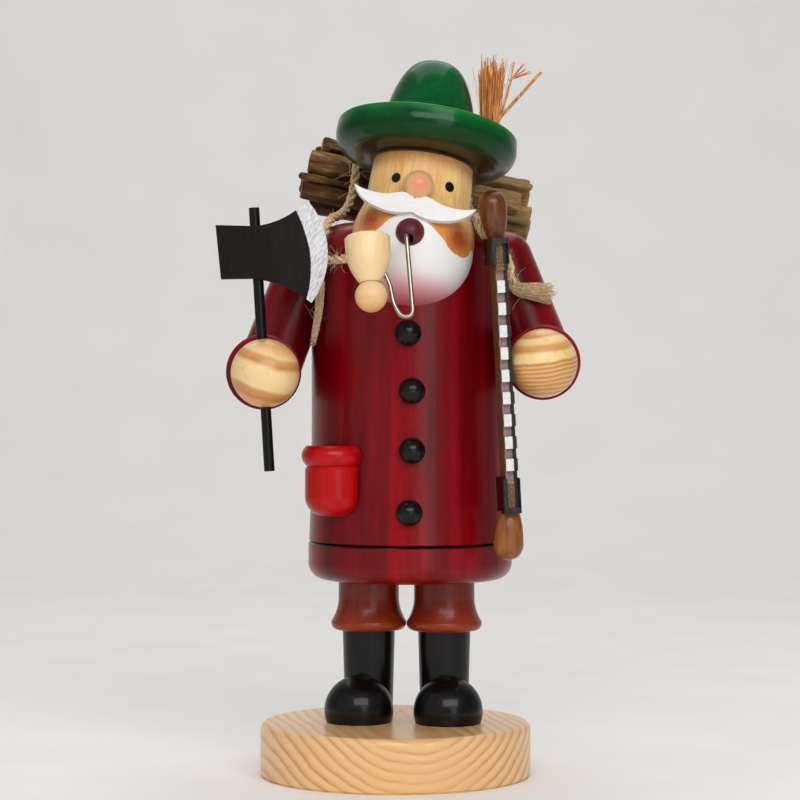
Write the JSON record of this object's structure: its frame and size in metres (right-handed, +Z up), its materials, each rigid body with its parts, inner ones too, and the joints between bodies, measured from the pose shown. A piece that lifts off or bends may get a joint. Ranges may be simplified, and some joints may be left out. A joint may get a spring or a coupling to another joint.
{
  "type": "german incense smoker",
  "caption": "Turned wooden incense smoker: a woodcutter with pipe, axe, saw and stick bundle whose upper figure lifts off a round base to take an incense cone",
  "frame": {"origin": "middle of the base disc's flat underside", "axes": "+Z up; the figure faces -Y; +X is to the right of a viewer who looks at the face"},
  "size_m": [0.0967, 0.0878, 0.1958],
  "materials": {
    "pine": "clear satin lacquer on end-grained pine",
    "plain_wood": "raw dowel wood",
    "black_paint": "black satin paint",
    "brown_stain": "glossy red-brown stain",
    "red_stain": "glossy wine-red stain that shows the grain",
    "pocket_red": "glossy bright red paint",
    "tray_brass": "pressed brass sheet",
    "steel": "bright nickel",
    "incense": "pressed incense powder",
    "axe_paint": "dark satin paint with a silver-white bit",
    "saw_wood": "dark brown satin stain with white painted teeth",
    "handle_brown": "glossy brown stain",
    "head_wood": "clear satin lacquer with painted beard, cheeks and eyes",
    "nose_pink": "pink airbrushed satin lacquer",
    "white_paint": "white satin paint",
    "mouth_brown": "dark red-brown satin paint",
    "maple": "clear satin lacquer on pale maple",
    "green_stain": "glossy green stain that shows the grain",
    "straw": "dry orange-brown straw",
    "bark": "rough brown bark with pale cut ends",
    "jute": "loosely laid jute"
  },
  "bodies": {
    "lower": {"base_disc": "pine", "boot_toe_left": "black_paint", "boot_shaft_left": "black_paint", "trouser_leg_left": "brown_stain", "leg_dowel_left": "plain_wood", "boot_toe_right": "black_paint", "boot_shaft_right": "black_paint", "trouser_leg_right": "brown_stain", "leg_dowel_right": "plain_wood", "lower_coat": "red_stain", "ember_tray": "tray_brass", "tray_tack_left": "steel", "tray_tack_right": "steel"},
    "incense": {"incense_cone": "incense"},
    "pipe": {"pipe_wire": "steel", "pipe_bowl": "maple", "pipe_knob": "maple"},
    "figure": {"coat_body": "red_stain", "button_1": "black_paint", "button_2": "black_paint", "button_3": "black_paint", "button_4": "black_paint", "pocket": "pocket_red", "upper_sleeve_left": "red_stain", "fore_sleeve_left": "red_stain", "hand_left": "pine", "shoulder_dowel_left": "plain_wood", "upper_sleeve_right": "red_stain", "fore_sleeve_right": "red_stain", "hand_right": "pine", "shoulder_dowel_right": "plain_wood", "axe_handle": "black_paint", "axe_head": "axe_paint", "saw_blade": "saw_wood", "saw_clamp_top": "black_paint", "saw_clamp_bottom": "black_paint", "saw_handle_top": "handle_brown", "saw_handle_bottom": "handle_brown", "head": "head_wood", "nose": "nose_pink", "moustache": "white_paint", "mouth_bead": "mouth_brown", "hat": "green_stain", "hat_dowel": "plain_wood", "hat_tuft": "straw", "stick_01": "bark", "stick_02": "bark", "stick_03": "bark", "stick_04": "bark", "stick_05": "bark", "stick_06": "bark", "stick_07": "bark", "stick_08": "bark", "stick_09": "bark", "stick_10": "bark", "stick_11": "bark", "strap_left": "jute", "strap_right": "jute", "strap_tail_left": "jute"}
  },
  "joints": [
    {"name": "figure_lift", "type": "slide", "parent": "lower", "child": "figure", "axis": [0, 0, 1], "range_m": [0, 0.045]},
    {"name": "cone_lift", "type": "slide", "parent": "lower", "child": "incense", "axis": [0, 0, 1], "range_m": [0, 0.022]},
    {"name": "pipe_swivel", "type": "hinge", "parent": "figure", "child": "pipe", "pos_m": [0.00294, -0.0246, 0.14236], "axis": [0, -0.974, 0.2267], "range_deg": [-20, 35]}
  ]
}
